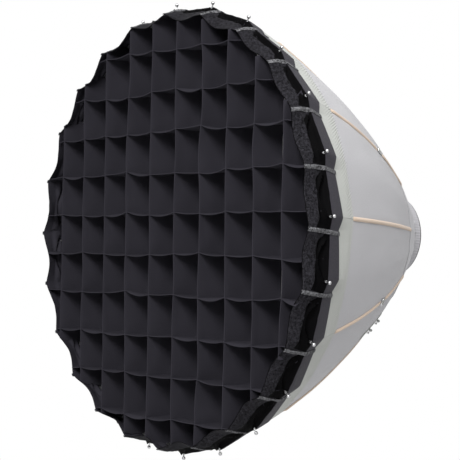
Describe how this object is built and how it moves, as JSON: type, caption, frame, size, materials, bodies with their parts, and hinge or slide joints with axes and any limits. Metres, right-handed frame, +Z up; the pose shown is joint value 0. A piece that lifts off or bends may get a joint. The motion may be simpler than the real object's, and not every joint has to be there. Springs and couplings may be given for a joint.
{
  "type": "umbrella softbox with grid",
  "caption": "Deep round umbrella softbox: folding ribs under a fabric shell, a fabric egg-crate grid in front, and a turning hub with a bayonet insert for a studio light.",
  "frame": {"origin": "centre of the bore of the bayonet insert, in the plane where the light's front ring seats", "axes": "+Y along the light axis toward the light, so the open front faces -Y; +Z up; the ribs start three degrees above +X"},
  "size_m": [1.2882, 0.9365, 1.2882],
  "materials": {
    "shell_cloth": "woven polyester laminate, grey outside and silver inside",
    "black_cloth": "matte black woven nylon with hemmed edges",
    "screen_cloth": "translucent white diffusion cloth",
    "spring_steel": "drawn spring-steel rod with a bright turned tip",
    "cast_alloy": "black anodised",
    "insert_alloy": "turned and clear anodised",
    "bright_steel": "plated",
    "black_plastic": "moulded, fine grain",
    "webbing": "woven grey webbing"
  },
  "bodies": {
    "mount": {"mount_insert": "insert_alloy"},
    "hub": {"hub_ring": "cast_alloy", "hub_collar": "cast_alloy", "hub_screws": "bright_steel", "hinge_pins": "bright_steel", "retaining_ring": "bright_steel", "rear_cone": "shell_cloth"},
    "knob": {"lock_knob": "black_plastic"},
    "front_set": {"skirt": "black_cloth", "grid_uprights": "black_cloth", "grid_crossers": "black_cloth", "front_screen": "screen_cloth"},
    "rib_01": {"rib_01": "spring_steel"},
    "rib_02": {"rib_02": "spring_steel", "panel_01": "shell_cloth"},
    "rib_03": {"rib_03": "spring_steel", "tie_tab_1": "webbing"},
    "rib_04": {"rib_04": "spring_steel", "panel_02": "shell_cloth"},
    "rib_05": {"rib_05": "spring_steel"},
    "rib_06": {"rib_06": "spring_steel", "panel_03": "shell_cloth"},
    "rib_07": {"rib_07": "spring_steel"},
    "rib_08": {"rib_08": "spring_steel", "panel_04": "shell_cloth"},
    "rib_09": {"rib_09": "spring_steel"},
    "rib_10": {"rib_10": "spring_steel", "panel_05": "shell_cloth"},
    "rib_11": {"rib_11": "spring_steel", "tie_tab_2": "webbing"},
    "rib_12": {"rib_12": "spring_steel", "panel_06": "shell_cloth"},
    "rib_13": {"rib_13": "spring_steel"},
    "rib_14": {"rib_14": "spring_steel", "panel_07": "shell_cloth"},
    "rib_15": {"rib_15": "spring_steel", "tie_tab_3": "webbing"},
    "rib_16": {"rib_16": "spring_steel", "panel_08": "shell_cloth"},
    "rib_17": {"rib_17": "spring_steel"},
    "rib_18": {"rib_18": "spring_steel", "panel_09": "shell_cloth"},
    "rib_19": {"rib_19": "spring_steel"},
    "rib_20": {"rib_20": "spring_steel", "panel_10": "shell_cloth"},
    "rib_21": {"rib_21": "spring_steel"},
    "rib_22": {"rib_22": "spring_steel", "panel_11": "shell_cloth", "zip_sliders": "bright_steel"},
    "rib_23": {"rib_23": "spring_steel", "tie_tab_4": "webbing"},
    "rib_24": {"rib_24": "spring_steel", "panel_12": "shell_cloth"},
    "tie_ring_1": {"tie_ring_1": "bright_steel"},
    "tie_ring_2": {"tie_ring_2": "bright_steel"},
    "tie_ring_3": {"tie_ring_3": "bright_steel"},
    "tie_ring_4": {"tie_ring_4": "bright_steel"},
    "zip_pull_1": {"zip_pull_1": "black_plastic"},
    "zip_pull_2": {"zip_pull_2": "black_plastic"}
  },
  "joints": [
    {"name": "mount_turn", "type": "hinge", "parent": "mount", "child": "hub", "pos_m": [0, 0, 0], "axis": [0, 1, 0], "continuous": true},
    {"name": "knob_turn", "type": "hinge", "parent": "hub", "child": "knob", "pos_m": [0.00863, -0.0034, 0.10966], "axis": [0.0785, 0, 0.9969], "continuous": true},
    {"name": "rib_01_fold", "type": "hinge", "parent": "hub", "child": "rib_01", "pos_m": [0.11185, -0.032, 0.00586], "axis": [0.0523, 0, -0.9986], "range_deg": [0, 34], "deforming": ["panel_01", "panel_02", "panel_03", "panel_04", "panel_05", "panel_06", "panel_07", "panel_08", "panel_09", "panel_10", "panel_11", "panel_12", "rear_cone"]},
    {"name": "rib_02_fold", "type": "hinge", "parent": "hub", "child": "rib_02", "pos_m": [0.10652, -0.032, 0.03461], "axis": [0.309, 0, -0.9511], "range_deg": [0, 34]},
    {"name": "rib_03_fold", "type": "hinge", "parent": "hub", "child": "rib_03", "pos_m": [0.09393, -0.032, 0.061], "axis": [0.5446, 0, -0.8387], "range_deg": [0, 34]},
    {"name": "rib_04_fold", "type": "hinge", "parent": "hub", "child": "rib_04", "pos_m": [0.07494, -0.032, 0.08323], "axis": [0.7431, 0, -0.6691], "range_deg": [0, 34]},
    {"name": "rib_05_fold", "type": "hinge", "parent": "hub", "child": "rib_05", "pos_m": [0.05085, -0.032, 0.09979], "axis": [0.891, 0, -0.454], "range_deg": [0, 34]},
    {"name": "rib_06_fold", "type": "hinge", "parent": "hub", "child": "rib_06", "pos_m": [0.02329, -0.032, 0.10955], "axis": [0.9781, 0, -0.2079], "range_deg": [0, 34]},
    {"name": "rib_07_fold", "type": "hinge", "parent": "hub", "child": "rib_07", "pos_m": [-0.00586, -0.032, 0.11185], "axis": [0.9986, 0, 0.0523], "range_deg": [0, 34]},
    {"name": "rib_08_fold", "type": "hinge", "parent": "hub", "child": "rib_08", "pos_m": [-0.03461, -0.032, 0.10652], "axis": [0.9511, 0, 0.309], "range_deg": [0, 34]},
    {"name": "rib_09_fold", "type": "hinge", "parent": "hub", "child": "rib_09", "pos_m": [-0.061, -0.032, 0.09393], "axis": [0.8387, 0, 0.5446], "range_deg": [0, 34]},
    {"name": "rib_10_fold", "type": "hinge", "parent": "hub", "child": "rib_10", "pos_m": [-0.08323, -0.032, 0.07494], "axis": [0.6691, 0, 0.7431], "range_deg": [0, 34]},
    {"name": "rib_11_fold", "type": "hinge", "parent": "hub", "child": "rib_11", "pos_m": [-0.09979, -0.032, 0.05085], "axis": [0.454, 0, 0.891], "range_deg": [0, 34]},
    {"name": "rib_12_fold", "type": "hinge", "parent": "hub", "child": "rib_12", "pos_m": [-0.10955, -0.032, 0.02329], "axis": [0.2079, 0, 0.9781], "range_deg": [0, 34]},
    {"name": "rib_13_fold", "type": "hinge", "parent": "hub", "child": "rib_13", "pos_m": [-0.11185, -0.032, -0.00586], "axis": [-0.0523, 0, 0.9986], "range_deg": [0, 34]},
    {"name": "rib_14_fold", "type": "hinge", "parent": "hub", "child": "rib_14", "pos_m": [-0.10652, -0.032, -0.03461], "axis": [-0.309, 0, 0.9511], "range_deg": [0, 34]},
    {"name": "rib_15_fold", "type": "hinge", "parent": "hub", "child": "rib_15", "pos_m": [-0.09393, -0.032, -0.061], "axis": [-0.5446, 0, 0.8387], "range_deg": [0, 34]},
    {"name": "rib_16_fold", "type": "hinge", "parent": "hub", "child": "rib_16", "pos_m": [-0.07494, -0.032, -0.08323], "axis": [-0.7431, 0, 0.6691], "range_deg": [0, 34]},
    {"name": "rib_17_fold", "type": "hinge", "parent": "hub", "child": "rib_17", "pos_m": [-0.05085, -0.032, -0.09979], "axis": [-0.891, 0, 0.454], "range_deg": [0, 34]},
    {"name": "rib_18_fold", "type": "hinge", "parent": "hub", "child": "rib_18", "pos_m": [-0.02329, -0.032, -0.10955], "axis": [-0.9781, 0, 0.2079], "range_deg": [0, 34]},
    {"name": "rib_19_fold", "type": "hinge", "parent": "hub", "child": "rib_19", "pos_m": [0.00586, -0.032, -0.11185], "axis": [-0.9986, 0, -0.0523], "range_deg": [0, 34]},
    {"name": "rib_20_fold", "type": "hinge", "parent": "hub", "child": "rib_20", "pos_m": [0.03461, -0.032, -0.10652], "axis": [-0.9511, 0, -0.309], "range_deg": [0, 34]},
    {"name": "rib_21_fold", "type": "hinge", "parent": "hub", "child": "rib_21", "pos_m": [0.061, -0.032, -0.09393], "axis": [-0.8387, 0, -0.5446], "range_deg": [0, 34]},
    {"name": "rib_22_fold", "type": "hinge", "parent": "hub", "child": "rib_22", "pos_m": [0.08323, -0.032, -0.07494], "axis": [-0.6691, 0, -0.7431], "range_deg": [0, 34]},
    {"name": "rib_23_fold", "type": "hinge", "parent": "hub", "child": "rib_23", "pos_m": [0.09979, -0.032, -0.05085], "axis": [-0.454, 0, -0.891], "range_deg": [0, 34]},
    {"name": "rib_24_fold", "type": "hinge", "parent": "hub", "child": "rib_24", "pos_m": [0.10955, -0.032, -0.02329], "axis": [-0.2079, 0, -0.9781], "range_deg": [0, 34]},
    {"name": "grid_pull_off", "type": "slide", "parent": "hub", "child": "front_set", "axis": [0, -1, 0], "range_m": [0, 0.45], "deforming": ["skirt", "grid_uprights", "grid_crossers", "front_screen"]},
    {"name": "tie_ring_1_swing", "type": "hinge", "parent": "rib_03", "child": "tie_ring_1", "pos_m": [0.35782, -0.42767, 0.23237], "axis": [-0.5446, 0, 0.8387], "range_deg": [0, 150]},
    {"name": "tie_ring_2_swing", "type": "hinge", "parent": "rib_11", "child": "tie_ring_2", "pos_m": [-0.38015, -0.42767, 0.19369], "axis": [-0.454, 0, -0.891], "range_deg": [0, 150]},
    {"name": "tie_ring_3_swing", "type": "hinge", "parent": "rib_15", "child": "tie_ring_3", "pos_m": [-0.35782, -0.42767, -0.23237], "axis": [0.5446, 0, -0.8387], "range_deg": [0, 150]},
    {"name": "tie_ring_4_swing", "type": "hinge", "parent": "rib_23", "child": "tie_ring_4", "pos_m": [0.38015, -0.42767, -0.19369], "axis": [0.454, 0, 0.891], "range_deg": [0, 150]},
    {"name": "zip_pull_1_swing", "type": "hinge", "parent": "rib_22", "child": "zip_pull_1", "pos_m": [0.31331, -0.41557, -0.2821], "axis": [-0.6691, 0, -0.7431], "range_deg": [0, 120]},
    {"name": "zip_pull_2_swing", "type": "hinge", "parent": "rib_22", "child": "zip_pull_2", "pos_m": [0.28662, -0.35944, -0.25807], "axis": [-0.6691, 0, -0.7431], "range_deg": [0, 120]}
  ],
  "couplings": [
    {"joint": "rib_02_fold", "follows": "rib_01_fold", "ratio": 1},
    {"joint": "rib_03_fold", "follows": "rib_01_fold", "ratio": 1},
    {"joint": "rib_04_fold", "follows": "rib_01_fold", "ratio": 1},
    {"joint": "rib_05_fold", "follows": "rib_01_fold", "ratio": 1},
    {"joint": "rib_06_fold", "follows": "rib_01_fold", "ratio": 1},
    {"joint": "rib_07_fold", "follows": "rib_01_fold", "ratio": 1},
    {"joint": "rib_08_fold", "follows": "rib_01_fold", "ratio": 1},
    {"joint": "rib_09_fold", "follows": "rib_01_fold", "ratio": 1},
    {"joint": "rib_10_fold", "follows": "rib_01_fold", "ratio": 1},
    {"joint": "rib_11_fold", "follows": "rib_01_fold", "ratio": 1},
    {"joint": "rib_12_fold", "follows": "rib_01_fold", "ratio": 1},
    {"joint": "rib_13_fold", "follows": "rib_01_fold", "ratio": 1},
    {"joint": "rib_14_fold", "follows": "rib_01_fold", "ratio": 1},
    {"joint": "rib_15_fold", "follows": "rib_01_fold", "ratio": 1},
    {"joint": "rib_16_fold", "follows": "rib_01_fold", "ratio": 1},
    {"joint": "rib_17_fold", "follows": "rib_01_fold", "ratio": 1},
    {"joint": "rib_18_fold", "follows": "rib_01_fold", "ratio": 1},
    {"joint": "rib_19_fold", "follows": "rib_01_fold", "ratio": 1},
    {"joint": "rib_20_fold", "follows": "rib_01_fold", "ratio": 1},
    {"joint": "rib_21_fold", "follows": "rib_01_fold", "ratio": 1},
    {"joint": "rib_22_fold", "follows": "rib_01_fold", "ratio": 1},
    {"joint": "rib_23_fold", "follows": "rib_01_fold", "ratio": 1},
    {"joint": "rib_24_fold", "follows": "rib_01_fold", "ratio": 1},
    {"joint": "grid_pull_off", "follows": "rib_01_fold", "m_per_rad": 0.75816}
  ]
}
